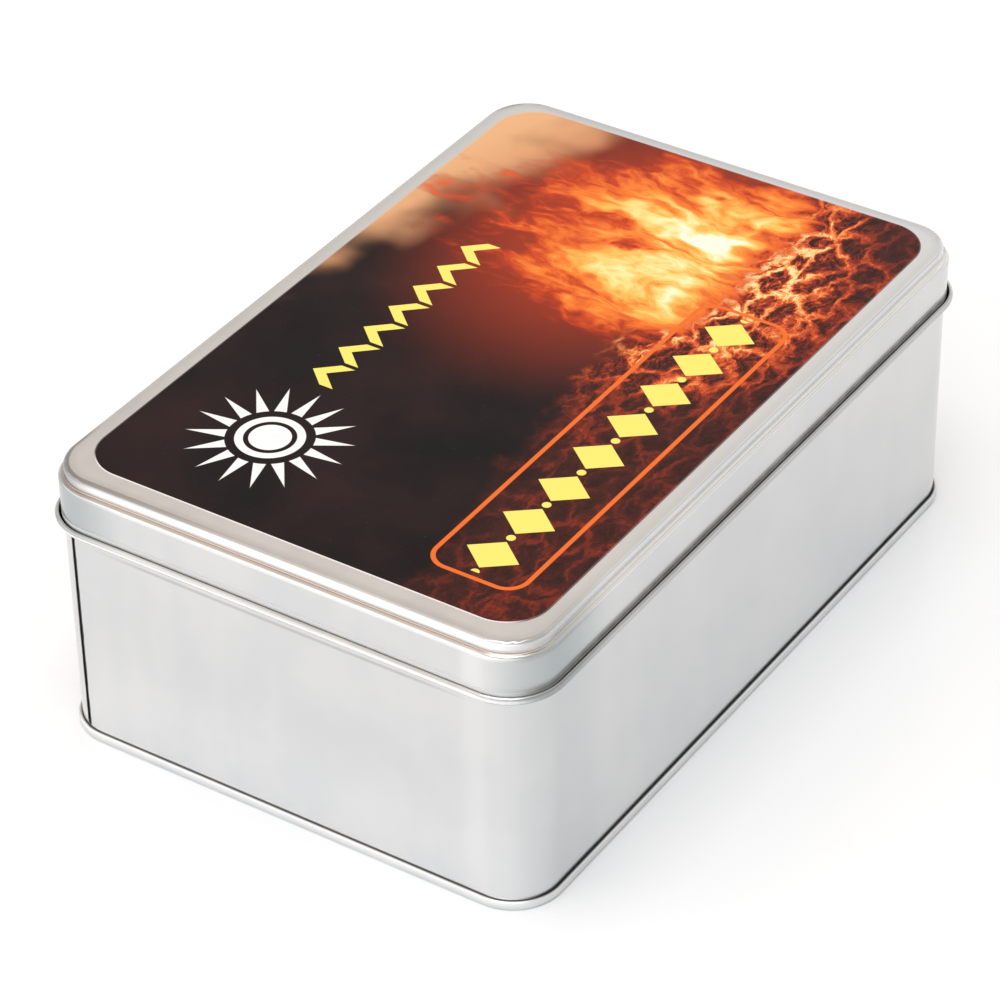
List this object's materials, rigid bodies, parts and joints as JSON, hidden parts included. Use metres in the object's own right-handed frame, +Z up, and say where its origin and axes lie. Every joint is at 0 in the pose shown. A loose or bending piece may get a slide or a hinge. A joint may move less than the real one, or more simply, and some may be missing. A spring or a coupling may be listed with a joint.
{
  "type": "tinder box",
  "caption": "Rectangular tinplate box with rounded corners, a stepped slip-on lid and a printed label, for keeping tinder, fire-lighting things or other small goods.",
  "frame": {"origin": "on the ground under the middle of the box, at the bottom of the seamed foot", "axes": "+X along the long side, +Z up, -Y towards the front, which the label is read from"},
  "size_m": [0.194, 0.1304, 0.0715],
  "materials": {
    "body_tinplate": "bright rolled tinplate, plain",
    "base_tinplate": "bright rolled tinplate, plain",
    "lid_tinplate": "bright rolled tinplate, plain",
    "label_print": "satin laminated print"
  },
  "bodies": {
    "box": {"body_shell": "body_tinplate", "base_panel": "base_tinplate"},
    "lid": {"lid_shell": "lid_tinplate", "lid_label": "label_print"}
  },
  "joints": [
    {"name": "lid_lift", "type": "slide", "parent": "box", "child": "lid", "axis": [0, 0, 1], "range_m": [0, 0.08]}
  ]
}
